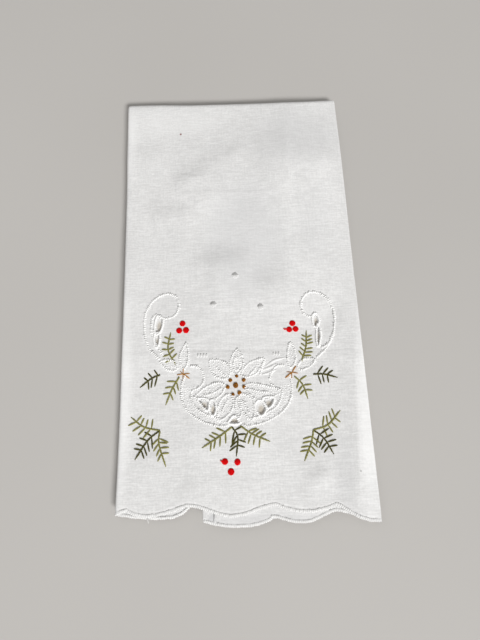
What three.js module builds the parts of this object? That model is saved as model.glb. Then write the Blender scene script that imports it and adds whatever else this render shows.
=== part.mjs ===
// An embroidered guest napkin: one sheet of white cloth with a scalloped front hem. Its two side
// panels are folded behind the centre panel, and the strip is then folded in half at the top.
// Millimetres, +Z up, +Y towards the top fold. The origin is under the middle of the folded cloth.

import * as THREE from "three";

// The flat cloth. Places across it are measured from the middle of the centre scallop.
const CLOTH_WIDTH = 332;
const CLOTH_LENGTH = 490;
const SHEET_THICKNESS = 1.0;
const LAYER_GAP = 0.35;

// The two side folds, and the fold across the middle, whose outer edge is at FOLDED_LENGTH.
const LEFT_FOLD_ACROSS = -60.3;
const RIGHT_FOLD_ACROSS = 76.3;
const LEFT_EDGE_X = -68;
const FOLDED_LENGTH = 252.8;

// How far the strip leans to the left from its hem to the top fold, and the slope of that fold.
const LEAN_AT_HEM = 0.6;
const LEAN_AT_FOLD = -1.5;
const TOP_FOLD_SLOPE = -0.0135;

// A thinner part of the stack folds sharper, so its fold reaches out by this share of what it lacks.
const SHARPER_FOLD_REACH = 0.5;

// The six layers, from the one on the table to the one that shows.
const LAYER_PITCH = SHEET_THICKNESS + LAYER_GAP;
const LAYERS = 6;
const STACK_MIDDLE = SHEET_THICKNESS / 2 + (LAYER_PITCH * (LAYERS - 1)) / 2;
const CENTRE_LEVEL = SHEET_THICKNESS / 2 + LAYER_PITCH * 5;
const RIGHT_LEVEL = SHEET_THICKNESS / 2 + LAYER_PITCH * 4;
const LEFT_LEVEL = SHEET_THICKNESS / 2 + LAYER_PITCH * 3;
const STACK_HEIGHT = CENTRE_LEVEL + SHEET_THICKNESS / 2;
const FOLD_LINE_Y = FOLDED_LENGTH - STACK_HEIGHT / 2;

// The front hem, from its left end to its right end. A row is the point between two scallops: its
// place across the cloth, where it lies along Y because the panels were folded a little askew, and
// the depth and fullness of the scallop that follows. A low fullness is a round, full scallop.
const HEM = [
  { across: -CLOTH_WIDTH / 2, y: 3.4, depth: 4.0, fullness: 1.0 },
  { across: -134, y: 3.4, depth: 4.4, fullness: 1.0 },
  { across: -101, y: 3.2, depth: 5.7, fullness: 0.6 },
  { across: -53, y: 2.0, depth: 4.4, fullness: 1.2 },
  { across: -22, y: 2.6, depth: 5.6, fullness: 1.7 },
  { across: 22, y: 2.3, depth: 4.1, fullness: 1.1 },
  { across: 53, y: 0.7, depth: 6.5, fullness: 1.1 },
  { across: 97.5, y: -1.4, depth: 4.0, fullness: 1.5 },
  { across: 130.5, y: -3.8, depth: 3.8, fullness: 0.7 },
  { across: CLOTH_WIDTH / 2, y: -4.5, depth: 0, fullness: 1.0 },
];

// Soft swells of the whole stack: a centre, the radii of the swell and the height it adds on top.
const EVEN_LIFT = 0.4;
const SWELLS = [
  { x: 64, y: 8, wide: 14, long: 90, rise: 1.8 },
  { x: 34, y: 18, wide: 9, long: 20, rise: 0.8 },
  { x: 10, y: 190, wide: 55, long: 60, rise: 0.6 },
  { x: -42, y: 120, wide: 30, long: 70, rise: 0.5 },
  { x: -30, y: 20, wide: 34, long: 30, rise: 0.4 },
];

// The pressed crease that runs across the cloth, and the softer one that slants near the top.
const CREASES = [
  { x: 0, y: 84, turn: -0.013, long: 68, wide: 9, depth: 0.3 },
  { x: -22, y: 203, turn: 0.62, long: 30, wide: 16, depth: 0.3 },
  { x: 58, y: 30, turn: 1.5, long: 48, wide: 7, depth: 0.5 },
];

// Beyond the free edge of a side panel the stack holds fewer layers and settles. Layer 0 is lowest.
const SETTLED_SHARE = 0.8;
const SETTLE_WIDTH = 18;
const MISSING_LAYERS = [
  { beyond: "left panel", firstLayer: 2, layers: 2 },
  { beyond: "right panel", firstLayer: 1, layers: 1 },
  { beyond: "right panel", firstLayer: 4, layers: 1 },
];

// How finely the surface is divided.
const STEP_ACROSS = 5;
const STEPS_IN_A_FOLD = 5;
const FRONT_ROWS = [0, 0.02, 0.06, 0.11, 0.17, 0.24, 0.29, 0.34, 0.39, 0.46, 0.55, 0.65, 0.74, 0.82, 0.9, 1];
const FOLD_ROWS = 6;
const BACK_ROWS = 6;

const LEFT_RADIUS = (CENTRE_LEVEL - LEFT_LEVEL) / 2;
const RIGHT_RADIUS = (CENTRE_LEVEL - RIGHT_LEVEL) / 2;
const LEFT_ARC = (Math.PI * LEFT_RADIUS) / 2;
const RIGHT_ARC = (Math.PI * RIGHT_RADIUS) / 2;
const LEFT_TURN_X = LEFT_EDGE_X + LEFT_RADIUS + SHEET_THICKNESS / 2;
const RIGHT_TURN_X = LEFT_TURN_X + RIGHT_FOLD_ACROSS - RIGHT_ARC - (LEFT_FOLD_ACROSS + LEFT_ARC);
const FREE_EDGES = {
  "left panel": { x: LEFT_TURN_X + LEFT_FOLD_ACROSS - LEFT_ARC + CLOTH_WIDTH / 2, towards: 1 },
  "right panel": { x: RIGHT_TURN_X + RIGHT_FOLD_ACROSS + RIGHT_ARC - CLOTH_WIDTH / 2, towards: -1 },
};

function lerp(a, b, t) {
  return a + (b - a) * t;
}

// Where the edge of the front hem lies along Y, at a place across the cloth.
function hemY(across) {
  const next = Math.max(
    1,
    HEM.findIndex((row) => row.across >= across),
  );
  const a = HEM[next - 1];
  const b = HEM[next];
  const t = (across - a.across) / (b.across - a.across);
  return lerp(a.y, b.y, t) - a.depth * Math.sin(Math.PI * t) ** a.fullness;
}

// The folded section seen from the hem: the middle of the sheet, and the way its right side faces.
function section(across) {
  const leftStart = LEFT_FOLD_ACROSS - LEFT_ARC;
  const leftEnd = LEFT_FOLD_ACROSS + LEFT_ARC;
  const rightStart = RIGHT_FOLD_ACROSS - RIGHT_ARC;
  const rightEnd = RIGHT_FOLD_ACROSS + RIGHT_ARC;
  if (across < leftStart) {
    return { x: LEFT_TURN_X + (leftStart - across), z: LEFT_LEVEL, faceX: 0, faceZ: -1 };
  }
  if (across < leftEnd) {
    const turn = (leftEnd - across) / LEFT_RADIUS;
    const faceX = -Math.sin(turn);
    const faceZ = Math.cos(turn);
    const z = LEFT_LEVEL + LEFT_RADIUS + LEFT_RADIUS * faceZ;
    return { x: LEFT_TURN_X + LEFT_RADIUS * faceX, z, faceX, faceZ };
  }
  if (across <= rightStart) {
    return { x: LEFT_TURN_X + (across - leftEnd), z: CENTRE_LEVEL, faceX: 0, faceZ: 1 };
  }
  if (across < rightEnd) {
    const turn = (across - rightStart) / RIGHT_RADIUS;
    const faceX = Math.sin(turn);
    const faceZ = Math.cos(turn);
    const z = RIGHT_LEVEL + RIGHT_RADIUS + RIGHT_RADIUS * faceZ;
    return { x: RIGHT_TURN_X + RIGHT_RADIUS * faceX, z, faceX, faceZ };
  }
  return { x: RIGHT_TURN_X - (across - rightEnd), z: RIGHT_LEVEL, faceX: 0, faceZ: -1 };
}

// Places across the cloth where the section gets points: scallop ends, both folds and steps between.
function stations() {
  const marks = HEM.map((row) => row.across);
  const folds = [
    { middle: LEFT_FOLD_ACROSS, arc: LEFT_ARC },
    { middle: RIGHT_FOLD_ACROSS, arc: RIGHT_ARC },
  ];
  for (const { middle, arc } of folds) {
    marks.push(middle - arc, middle + arc);
  }
  marks.sort((a, b) => a - b);
  const places = [marks[0]];
  for (let i = 1; i < marks.length; i += 1) {
    const middle = (marks[i - 1] + marks[i]) / 2;
    const inFold = folds.some((fold) => Math.abs(middle - fold.middle) < fold.arc);
    const steps = inFold ? STEPS_IN_A_FOLD : Math.ceil((marks[i] - marks[i - 1]) / STEP_ACROSS);
    for (let k = 1; k <= steps; k += 1) {
      places.push(lerp(marks[i - 1], marks[i], k / steps));
    }
  }
  return places;
}

// The rows along the cloth: the front half from hem to fold, the turn over the top, the back half.
function rows() {
  const list = FRONT_ROWS.map((along) => ({ part: "front", along }));
  for (let k = 1; k <= FOLD_ROWS; k += 1) {
    list.push({ part: "fold", along: k / FOLD_ROWS });
  }
  for (let k = 1; k <= BACK_ROWS; k += 1) {
    list.push({ part: "back", along: k / BACK_ROWS });
  }
  return list;
}

// How high a swell or crease stands at a point, from a soft bell round its middle.
function softBell(awayWide, awayLong) {
  return Math.exp(-awayWide * awayWide - awayLong * awayLong);
}

// How far a point sinks where the layers under it are missing.
function settle(x, z) {
  let sink = 0;
  for (const { beyond, firstLayer, layers } of MISSING_LAYERS) {
    const edge = FREE_EDGES[beyond];
    const past = (x - edge.x) * edge.towards;
    const share = THREE.MathUtils.smoothstep(past, SHEET_THICKNESS, SHEET_THICKNESS + SETTLE_WIDTH);
    const lowest = SHEET_THICKNESS / 2 + (firstLayer - 0.5) * LAYER_PITCH;
    sink += share * SETTLED_SHARE * THREE.MathUtils.clamp(z - lowest, 0, layers * LAYER_PITCH);
  }
  return sink;
}

function liftAt(x, y) {
  let lift = EVEN_LIFT;
  for (const s of SWELLS) {
    lift += s.rise * softBell((x - s.x) / s.wide, (y - s.y) / s.long);
  }
  for (const c of CREASES) {
    const along = (x - c.x) * Math.cos(c.turn) + (y - c.y) * Math.sin(c.turn);
    const off = (y - c.y) * Math.cos(c.turn) - (x - c.x) * Math.sin(c.turn);
    lift -= c.depth * softBell(off / c.wide, along / c.long);
  }
  return lift;
}

// A point of the cloth: a place across it, a row along it, and its side of the sheet (+1 or -1).
function clothPoint(across, row, side) {
  const { x: middleX, z: level, faceX, faceZ } = section(across);
  const radius = level - STACK_MIDDLE;
  const foldY = FOLD_LINE_Y + TOP_FOLD_SLOPE * middleX + SHARPER_FOLD_REACH * settle(middleX, STACK_HEIGHT);
  const backY = foldY - (CLOTH_LENGTH - FOLD_LINE_Y - Math.PI * radius);
  const turn = row.part === "front" ? 0 : row.part === "back" ? Math.PI : Math.PI * row.along;
  let y = foldY;
  if (row.part === "front") {
    y = lerp(hemY(across), foldY, row.along);
  } else if (row.part === "back") {
    y = lerp(foldY, backY, row.along);
  }
  const out = (side * SHEET_THICKNESS) / 2;
  const flatX = middleX + out * faceX;
  const bentY = y + (radius + out * faceZ) * Math.sin(turn);
  const bentZ = STACK_MIDDLE + (radius + out * faceZ) * Math.cos(turn);
  const leanX = flatX + lerp(LEAN_AT_HEM, LEAN_AT_FOLD, bentY / FOLDED_LENGTH);
  const settledZ = bentZ - settle(flatX, bentZ);
  return new THREE.Vector3(leanX, bentY, settledZ * (1 + liftAt(leanX, bentY) / STACK_HEIGHT));
}

// One closed skin: the right side, the wrong side, and a strip along each of the four cut edges.
function clothGeometry() {
  const across = stations();
  const along = rows();
  const columns = across.length;
  const count = columns * along.length;
  const points = [];
  for (const side of [1, -1]) {
    for (const row of along) {
      points.push(...across.map((place) => clothPoint(place, row, side)));
    }
  }
  const index = [];
  const right = (i, j) => j * columns + i;
  const wrong = (i, j) => count + j * columns + i;
  const quad = (a, b, c, d) => index.push(a, b, c, a, c, d);
  for (let j = 0; j + 1 < along.length; j += 1) {
    for (let i = 0; i + 1 < columns; i += 1) {
      quad(right(i, j), right(i + 1, j), right(i + 1, j + 1), right(i, j + 1));
      quad(wrong(i, j), wrong(i, j + 1), wrong(i + 1, j + 1), wrong(i + 1, j));
    }
    quad(right(0, j), right(0, j + 1), wrong(0, j + 1), wrong(0, j));
    const last = columns - 1;
    quad(right(last, j + 1), right(last, j), wrong(last, j), wrong(last, j + 1));
  }
  const end = along.length - 1;
  for (let i = 0; i + 1 < columns; i += 1) {
    quad(right(i + 1, 0), right(i, 0), wrong(i, 0), wrong(i + 1, 0));
    quad(right(i, end), right(i + 1, end), wrong(i + 1, end), wrong(i, end));
  }
  const geometry = new THREE.BufferGeometry().setFromPoints(points);
  geometry.setIndex(index);
  geometry.computeBoundingBox();
  const middle = geometry.boundingBox.getCenter(new THREE.Vector3());
  geometry.translate(-middle.x, -middle.y, -geometry.boundingBox.min.z);
  geometry.computeVertexNormals();
  return geometry;
}

const whiteCloth = new THREE.MeshStandardMaterial({ color: 0xe8e9ea, roughness: 0.92, metalness: 0 });

const cloth = new THREE.Mesh(clothGeometry(), whiteCloth);
cloth.name = "napkin_cloth";

const napkin = new THREE.Group();
napkin.add(cloth);

export default napkin;
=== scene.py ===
import math

import bpy
import numpy as np
from mathutils import Matrix, Vector


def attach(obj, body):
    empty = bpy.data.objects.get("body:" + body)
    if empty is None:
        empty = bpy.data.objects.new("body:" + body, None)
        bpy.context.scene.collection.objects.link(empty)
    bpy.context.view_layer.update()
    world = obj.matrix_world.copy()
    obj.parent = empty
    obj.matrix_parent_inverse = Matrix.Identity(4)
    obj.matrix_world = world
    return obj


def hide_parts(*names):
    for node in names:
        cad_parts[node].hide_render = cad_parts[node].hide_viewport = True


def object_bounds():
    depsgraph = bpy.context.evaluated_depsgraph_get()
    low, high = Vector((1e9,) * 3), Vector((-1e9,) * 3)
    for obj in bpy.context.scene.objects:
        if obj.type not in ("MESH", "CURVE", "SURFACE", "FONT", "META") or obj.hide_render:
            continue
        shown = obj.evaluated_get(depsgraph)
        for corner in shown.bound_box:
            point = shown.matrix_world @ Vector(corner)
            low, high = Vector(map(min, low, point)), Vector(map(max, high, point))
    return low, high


# An embroidered guest napkin, folded and lying flat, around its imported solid. Sizes are millimetres
# on the cloth, and a mesh is made in metres from them. Places across the flat cloth are measured from
# the middle of the centre scallop, places along it from the line of the front hem.

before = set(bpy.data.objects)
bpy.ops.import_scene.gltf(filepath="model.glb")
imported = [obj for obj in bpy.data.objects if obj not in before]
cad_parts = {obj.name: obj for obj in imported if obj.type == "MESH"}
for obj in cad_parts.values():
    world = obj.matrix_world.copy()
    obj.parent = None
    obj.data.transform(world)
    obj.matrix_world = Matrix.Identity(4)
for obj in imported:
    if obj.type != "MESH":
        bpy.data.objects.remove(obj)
CAD_BOX = [list(corner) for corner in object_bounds()]
MM = 0.001

# The flat cloth, its folds and its layers.
CLOTH_WIDTH = 332.0
CLOTH_LENGTH = 490.0
SHEET_THICKNESS = 0.6
LAYER_PITCH = 1.3
LEFT_FOLD_ACROSS = -60.3
RIGHT_FOLD_ACROSS = 76.3
LEFT_EDGE_X = -68.0
RIGHT_PANEL_REACH = 0.8
PANEL_EASE = 30.0
FOLDED_LENGTH = 252.8
LEAN_AT_HEM = 0.1
LEAN_AT_FOLD = -1.5
LEAN_BOW = 0.65
TOP_FLARE = 0.5
TOP_FLARE_FROM = 130.0
HEM_FLARE = 0.4
HEM_FLARE_UP_TO = 45.0
TOP_FOLD_SLOPE = -0.0135
SHARPER_FOLD_REACH = 1.6

HALF_SHEET = SHEET_THICKNESS / 2
STACK_MIDDLE = HALF_SHEET + 2.5 * LAYER_PITCH
CENTRE_LEVEL = HALF_SHEET + 5 * LAYER_PITCH
RIGHT_LEVEL = HALF_SHEET + 4 * LAYER_PITCH
LEFT_LEVEL = HALF_SHEET + 3 * LAYER_PITCH
STACK_HEIGHT = CENTRE_LEVEL + HALF_SHEET
FOLD_LINE_Y = FOLDED_LENGTH - STACK_HEIGHT / 2
LEFT_RADIUS = (CENTRE_LEVEL - LEFT_LEVEL) / 2
RIGHT_RADIUS = (CENTRE_LEVEL - RIGHT_LEVEL) / 2
LEFT_ARC = math.pi * LEFT_RADIUS / 2
RIGHT_ARC = math.pi * RIGHT_RADIUS / 2
LEFT_START, LEFT_END = LEFT_FOLD_ACROSS - LEFT_ARC, LEFT_FOLD_ACROSS + LEFT_ARC
RIGHT_START, RIGHT_END = RIGHT_FOLD_ACROSS - RIGHT_ARC, RIGHT_FOLD_ACROSS + RIGHT_ARC
LEFT_TURN_X = LEFT_EDGE_X + LEFT_RADIUS + HALF_SHEET
RIGHT_TURN_X = LEFT_TURN_X + RIGHT_START - LEFT_END
LEFT_PANEL_EDGE_X = LEFT_TURN_X + LEFT_START + CLOTH_WIDTH / 2
RIGHT_PANEL_EDGE_X = RIGHT_TURN_X + RIGHT_END - CLOTH_WIDTH / 2 - RIGHT_PANEL_REACH

# The solid's own corner places the cloth in the frame.
LEFTMOST_X = -69.41
LOWEST_Y = -7.95
FRAME_X = CAD_BOX[0][0] / MM - LEFTMOST_X
FRAME_Y = CAD_BOX[0][1] / MM - LOWEST_Y

# Narrow turned hems on the two long sides and the back end.
HEM_WIDTH = 4.9
HEM_THICKNESS = 0.52

# The scalloped hem: a point between two scallops, then how deep the next scallop is, how full, and how
# far its deepest place is pulled to one side, where 1 is none.
HEM_COLUMNS = ("across", "y", "depth", "fullness", "pull")
HEM = [
    (-CLOTH_WIDTH / 2, 3.8, 4.0, 1.0, 1.0),
    (-134.0, 3.8, 3.4, 1.0, 1.0),
    (-100.0, 3.0, 0.9, 1.0, 1.0),
    (-91.3, -2.4, 1.85, 0.7, 1.0),
    (-53.9, 1.7, 3.7, 1.1, 0.75),
    (-22.0, 3.0, 5.2, 1.9, 1.0),
    (23.6, 2.1, 3.4, 0.82, 1.0),
    (54.0, 1.6, 7.2, 1.4, 0.82),
    (98.4, -1.4, 4.1, 1.45, 1.0),
    (130.5, -3.6, 2.95, 0.75, 0.75),
    (161.0, -6.05, 0.0, 1.0, 1.0),
    (CLOTH_WIDTH / 2, -4.8, 0.0, 1.0, 1.0),
]

# Soft swells of the whole stack, each with its centre, turn, half sizes and height.
EVEN_LIFT = 0.3
SWELL_COLUMNS = ("x", "y", "turn", "long", "wide", "rise")
SWELLS = [
    (66.0, 8.0, 1.57, 90.0, 14.0, 0.9),
    (22.0, 188.0, 0.0, 55.0, 46.0, 1.0),
    (-42.0, 120.0, 1.57, 70.0, 30.0, 0.4),
    (-30.0, 20.0, 0.0, 34.0, 30.0, 0.3),
]

# Where layers are missing beyond a side panel's free edge, the stack settles.
SETTLED_SHARE = 0.42
SETTLE_FROM = 1.0
SETTLE_WIDTH = 32.0
SETTLE_COLUMNS = ("edge", "towards", "first_layer", "layers")
SETTLES = [
    (LEFT_PANEL_EDGE_X, 1, 2, 2),
    (RIGHT_PANEL_EDGE_X, -1, 1, 1),
    (RIGHT_PANEL_EDGE_X, -1, 4, 1),
]

# Creases of the top layer alone: a trough is negative, a ridge positive. Each has its own width above
# and below its line, and the lower its power, the crisper its crest.
CREASE_COLUMNS = ("x", "y", "turn", "long", "above", "below", "rise", "power")
CREASES = [
    (0.0, 84.6, -0.022, 90.0, 0.9, 0.9, -0.1, 1.6),
    (-4.0, 80.5, -0.025, 80.0, 5.0, 9.0, 0.25, 2.0),
    (-25.0, 192.0, 0.35, 12.0, 10.0, 28.0, 1.9, 2.0),
    (-7.0, 206.5, 0.36, 15.0, 9.0, 24.0, 1.1, 2.0),
    (-28.6, 196.9, -0.25, 6.0, 1.0, 2.4, 0.28, 1.6),
    (-58.0, 212.5, -0.05, 13.0, 8.0, 12.0, 0.8, 2.0),
    (-22.0, 229.0, 0.1, 30.0, 16.0, 14.0, -0.5, 2.0),
    (-20.5, 180.0, 0.0, 7.0, 5.0, 9.0, 0.6, 2.0),
    (-6.8, 184.2, -0.02, 34.0, 0.9, 1.8, 0.11, 1.5),
    (-38.0, 170.5, 0.03, 15.0, 5.5, 10.0, 0.75, 2.0),
    (-4.5, 135.5, -0.02, 12.5, 9.5, 28.0, 1.7, 2.0),
    (-19.0, 134.0, 0.2, 9.0, 9.0, 24.0, 0.8, 2.0),
    (38.0, 202.0, -0.04, 26.0, 20.0, 30.0, 2.0, 2.0),
    (17.0, 120.5, -0.05, 14.0, 9.0, 16.0, 0.9, 2.0),
    (44.0, 150.0, 0.35, 16.0, 6.0, 12.0, 0.25, 2.0),
    (-54.0, 134.0, 0.15, 12.0, 6.0, 12.0, 0.22, 2.0),
    (52.0, 105.0, 0.95, 14.0, 5.0, 6.0, -0.75, 2.0),
    (38.5, 14.5, 0.41, 7.0, 5.5, 6.0, 1.0, 2.0),
    (60.0, 34.0, 1.508, 62.0, 8.0, 7.0, 1.5, 1.25),
    (-10.0, 12.0, 0.05, 26.0, 4.0, 9.0, 0.22, 2.0),
    (-50.0, 28.0, 0.3, 16.0, 5.0, 9.0, 0.2, 2.0),
    (31.5, 185.0, 1.535, 75.0, 4.0, 3.0, 0.3, 1.6),
    (-27.0, 165.0, 1.56, 38.0, 3.0, 5.0, -0.35, 1.8),
]

# Soft ovals of painted light and painted shade on the front panel: a positive share paints the cloth
# lighter, a negative one paints it darker. Painted light runs along both side folds, and painted shade lies
# on the panel below the hem and in the gap at a tucked hem corner.
PAINTED_SHADING_COLUMNS = ("x", "y", "turn", "long", "wide", "painted_light")
PAINTED_SHADING = [
    (4.0, 153.0, 1.57, 54.0, 34.0, -0.46),
    (48.0, 160.0, 1.57, 40.0, 16.0, -0.2),
    (-18.1, -3.0, 1.2, 4.0, 1.7, -1.0),
    (40.0, 224.0, 0.1, 42.0, 30.0, -0.34),
    (-38.0, 240.0, 0.0, 44.0, 16.0, 0.24),
    (-69.0, 60.0, 1.57, 80.0, 9.0, 0.6),
    (-69.0, 225.0, 1.57, 40.0, 9.0, 0.4),
    (67.5, 50.0, 1.51, 70.0, 8.0, 0.6),
    (52.0, 16.0, 1.55, 26.0, 8.0, -0.3),
    (-48.0, 76.0, 0.3, 24.0, 18.0, 0.1),
    (12.0, -6.5, -0.02, 75.0, 7.0, -0.45),
]
OVAL_PLATEAU = 0.3

# The small rise and fall of the layers as sums of smooth noise, each with its height, cell and seed: of
# the hidden layers, of the layer that shows, of the gaps between them, and of the pucker that the
# stitching draws the cloth into.
LOWER_NOISE = [(0.5, 31, 3), (0.2, 13, 4)]
LOWER_SHARE = 0.6
UPPER_NOISE = [(0.34, 44, 5), (0.12, 17, 6), (0.03, 7, 7)]
GAP_NOISE = [(3.0, 36, 8)]
GAP_WAVES = 2.1
GAP_RISE = 0.2
PUCKER_NOISE = [(0.1, 4.6, 9)]
PUCKER_CENTRE = (-5.0, 70.0)
PUCKER_REACH = (62.0, 40.0)

# Under the stitched design the layers rise towards the front one, each by its share at its height:
# less where a hem lies between, more beyond the right panel's free edge, and not beside the left fold.
CLOSER_CENTRE = (-5.0, 75.0)
CLOSER_REACH = (85.0, 64.0)
CLOSER_RISE = 0.62
CLOSER_BEYOND = 0.3
CLOSER_BEYOND_WITHIN = 7.0
CLOSER_OVER_HEM = 0.3
CLOSER_HEM_MARGIN = 0.5
CLOSER_OFF_FOLD = (3.0, 15.0)
CLOSER_CLEAR = 0.05
CLOSER_SHARES = [
    (2.0, 0.0),
    (LEFT_LEVEL, 0.6),
    (RIGHT_LEVEL - HALF_SHEET, 1.0),
    (RIGHT_LEVEL + HALF_SHEET + CLOSER_CLEAR, 1.0),
    (CENTRE_LEVEL - HALF_SHEET - CLOSER_CLEAR, 0.0),
]

# The free edge of the right panel slants to the left from the hem to beside the flower.
PANEL_SLANT = 6.5
PANEL_SLANT_FROM = -5.0
PANEL_SLANT_UP_TO = 60.0


def rows_of(table, columns):
    """The rows of a table as dictionaries, by the names of its columns."""
    return [dict(zip(columns, row)) for row in table]


def smooth(value, low, high):
    share = np.clip((value - low) / (high - low), 0.0, 1.0)
    return share * share * (3 - 2 * share)


def bells(x, y, table, columns):
    """The sum of a table's soft ridges and troughs at places on the folded cloth."""
    total = np.zeros_like(x)
    for bell in rows_of(table, columns):
        cos, sin = math.cos(bell["turn"]), math.sin(bell["turn"])
        along = ((x - bell["x"]) * cos + (y - bell["y"]) * sin) / bell["long"]
        off = (y - bell["y"]) * cos - (x - bell["x"]) * sin
        above, below = bell.get("above", bell.get("wide")), bell.get("below", bell.get("wide"))
        off = np.where(off > 0, off / above, -off / below)
        total += bell["rise"] * np.exp(-(off ** bell.get("power", 2.0)) - along**4)
    return total


def patch(x, y, centre, reach):
    """One inside an oval place on the cloth, fading to nothing round it."""
    return np.exp(-(((x - centre[0]) / reach[0]) ** 4) - ((y - centre[1]) / reach[1]) ** 4)


def soft_noise(x, y, cell, seed):
    """Smooth uneven values from -1 to 1, about a cell apart, the same on every run."""
    size, offset = 64, 1000
    lattice = np.random.default_rng(seed).uniform(-1, 1, (size, size))
    across, up = x / cell + offset, y / cell + offset
    i, j = np.floor(across).astype(int), np.floor(up).astype(int)
    s, t = across - i, up - j
    s, t = s * s * s * (s * (6 * s - 15) + 10), t * t * t * (t * (6 * t - 15) + 10)
    i, j, i2, j2 = i % size, j % size, (i + 1) % size, (j + 1) % size
    low = lattice[i, j] * (1 - s) + lattice[i2, j] * s
    high = lattice[i, j2] * (1 - s) + lattice[i2, j2] * s
    return low * (1 - t) + high * t


def noise_sum(x, y, table):
    return sum(rise * soft_noise(x, y, cell, seed) for rise, cell, seed in table)


def hem_edge(across):
    """Where the edge of the front hem lies along the cloth."""
    hem = dict(zip(HEM_COLUMNS, np.array(HEM).T))
    i = np.clip(np.searchsorted(hem["across"], across) - 1, 0, len(HEM) - 2)
    t = np.clip((across - hem["across"][i]) / (hem["across"][i + 1] - hem["across"][i]), 0, 1)
    drop = np.clip(np.sin(math.pi * t ** hem["pull"][i]), 0, 1) ** hem["fullness"][i]
    return hem["y"][i] + (hem["y"][i + 1] - hem["y"][i]) * t - hem["depth"][i] * drop


def lean_at(y):
    """How far to the side the folded cloth lies, along a slight bow."""
    share = y / FOLDED_LENGTH
    return LEAN_AT_HEM + (LEAN_AT_FOLD - LEAN_AT_HEM) * share + LEAN_BOW * np.sin(math.pi * share)


def settle(x, z):
    """How far a point sinks where the layers under it are missing."""
    sink = np.zeros_like(x)
    for row in rows_of(SETTLES, SETTLE_COLUMNS):
        past = (x - row["edge"]) * row["towards"]
        lowest = HALF_SHEET + (row["first_layer"] - 0.5) * LAYER_PITCH
        depth = np.clip(z - lowest, 0, row["layers"] * LAYER_PITCH)
        sink += smooth(past, SETTLE_FROM, SETTLE_FROM + SETTLE_WIDTH) * SETTLED_SHARE * depth
    return sink


def unevenness(x, y, z):
    """The small rise and fall of each layer, none at the table and most on the layer that shows."""
    share = np.clip(z / STACK_HEIGHT, 0, 1)
    between = GAP_RISE * np.sin(GAP_WAVES * z + noise_sum(x, y, GAP_NOISE))
    hidden = LOWER_SHARE * noise_sum(x, y, LOWER_NOISE) + between
    rise = (1 - share) * share * 4 * hidden + share * share * noise_sum(x, y, UPPER_NOISE)
    pucker = noise_sum(x, y, PUCKER_NOISE) * patch(x, y, PUCKER_CENTRE, PUCKER_REACH)
    return rise + share**4 * (bells(x, y, CREASES, CREASE_COLUMNS) + pucker)


def panel_slant(y):
    """How far the right panel's free edge has drifted to the left, at a height above the hem."""
    return PANEL_SLANT * smooth(y, PANEL_SLANT_FROM, PANEL_SLANT_UP_TO)


def closer(x, y, z):
    """How far the layers under the design rise towards the front one."""
    share = np.interp(z, *zip(*CLOSER_SHARES))
    edge = RIGHT_PANEL_EDGE_X - panel_slant(y)
    off_hem = smooth(np.abs(x - edge - HEM_WIDTH / 2), HEM_WIDTH / 2 + CLOSER_HEM_MARGIN, HEM_WIDTH)
    share = share * (CLOSER_OVER_HEM + (1 - CLOSER_OVER_HEM) * off_hem)
    rise = CLOSER_RISE + CLOSER_BEYOND * smooth(edge - x, 0.0, CLOSER_BEYOND_WITHIN)
    rise = rise * smooth(x - LEFT_EDGE_X, *CLOSER_OFF_FOLD)
    return rise * share * patch(x, y, CLOSER_CENTRE, CLOSER_REACH)


def side_folds(across):
    """How far places of the flat cloth have turned round each side fold, where they come to lie across
    the stack, and how far they have sunk."""
    left_turn = np.clip((LEFT_END - across) / LEFT_RADIUS, 0, math.pi)
    right_turn = np.clip((across - RIGHT_START) / RIGHT_RADIUS, 0, math.pi)
    x = LEFT_TURN_X + np.clip(across, LEFT_END, RIGHT_START) - LEFT_END
    x += np.clip(LEFT_START - across, 0, None) - np.clip(across - RIGHT_END, 0, None)
    sink = LEFT_RADIUS * (1 - np.cos(left_turn)) + RIGHT_RADIUS * (1 - np.cos(right_turn))
    return left_turn, right_turn, x, sink


def top_fold(x, sink):
    """Where the top fold starts along the cloth, and its radius there."""
    fold_y = FOLD_LINE_Y + TOP_FOLD_SLOPE * x
    fold_y += SHARPER_FOLD_REACH * settle(x, np.full_like(x, STACK_HEIGHT))
    return fold_y, CENTRE_LEVEL - sink - STACK_MIDDLE


def place_on_cloth(across, along, height):
    """Where points of the flat cloth lie once it is folded, in metres. The height is off the middle
    of the sheet, towards its right side."""
    left_turn, right_turn, x, sink = side_folds(across)
    far_on_panel = smooth(across, RIGHT_END, RIGHT_END + PANEL_EASE)
    x -= RIGHT_PANEL_REACH * far_on_panel
    x += RIGHT_RADIUS * np.sin(right_turn) - LEFT_RADIUS * np.sin(left_turn)
    face_x = np.sin(right_turn) - np.sin(left_turn)
    face_z = np.cos(right_turn) * np.cos(left_turn)
    fold_y, radius = top_fold(x, sink)
    top_turn = np.clip((along - fold_y) / radius, 0, math.pi)
    out = radius + height * face_z
    y = np.minimum(along, fold_y) - np.clip(along - fold_y - math.pi * radius, 0, None)
    y = y + out * np.sin(top_turn)
    z = STACK_MIDDLE + out * np.cos(top_turn)
    x = x + height * face_x - panel_slant(y) * far_on_panel
    z = z + closer(x, y, z) - settle(x, z)
    flare = TOP_FLARE * smooth(y, TOP_FLARE_FROM, FOLDED_LENGTH)
    flare = flare + HEM_FLARE * smooth(-y, -HEM_FLARE_UP_TO, 0.0)
    x = x + lean_at(y) - flare * x / LEFT_EDGE_X
    z = z * (1 + (EVEN_LIFT + bells(x, y, SWELLS, SWELL_COLUMNS)) / STACK_HEIGHT)
    z = z + unevenness(x, y, z)
    return place_in_frame(x, y, z)


def place_in_frame(x, y, height):
    """Places in the folded napkin's own millimetres, in metres in the frame."""
    return np.stack([(x + FRAME_X) * MM, (y + FRAME_Y) * MM, height * MM], axis=-1)


def place_on_front(x, y, height):
    """The same for places on the front panel as it lies folded. The height is off its surface."""
    across = x - lean_at(y) - LEFT_TURN_X + LEFT_END
    return place_on_cloth(across, y, height + HALF_SHEET)


def one_place_on_front(x, y):
    return place_on_front(np.array([x]), np.array([y]), np.zeros(1))[0].tolist()


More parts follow.
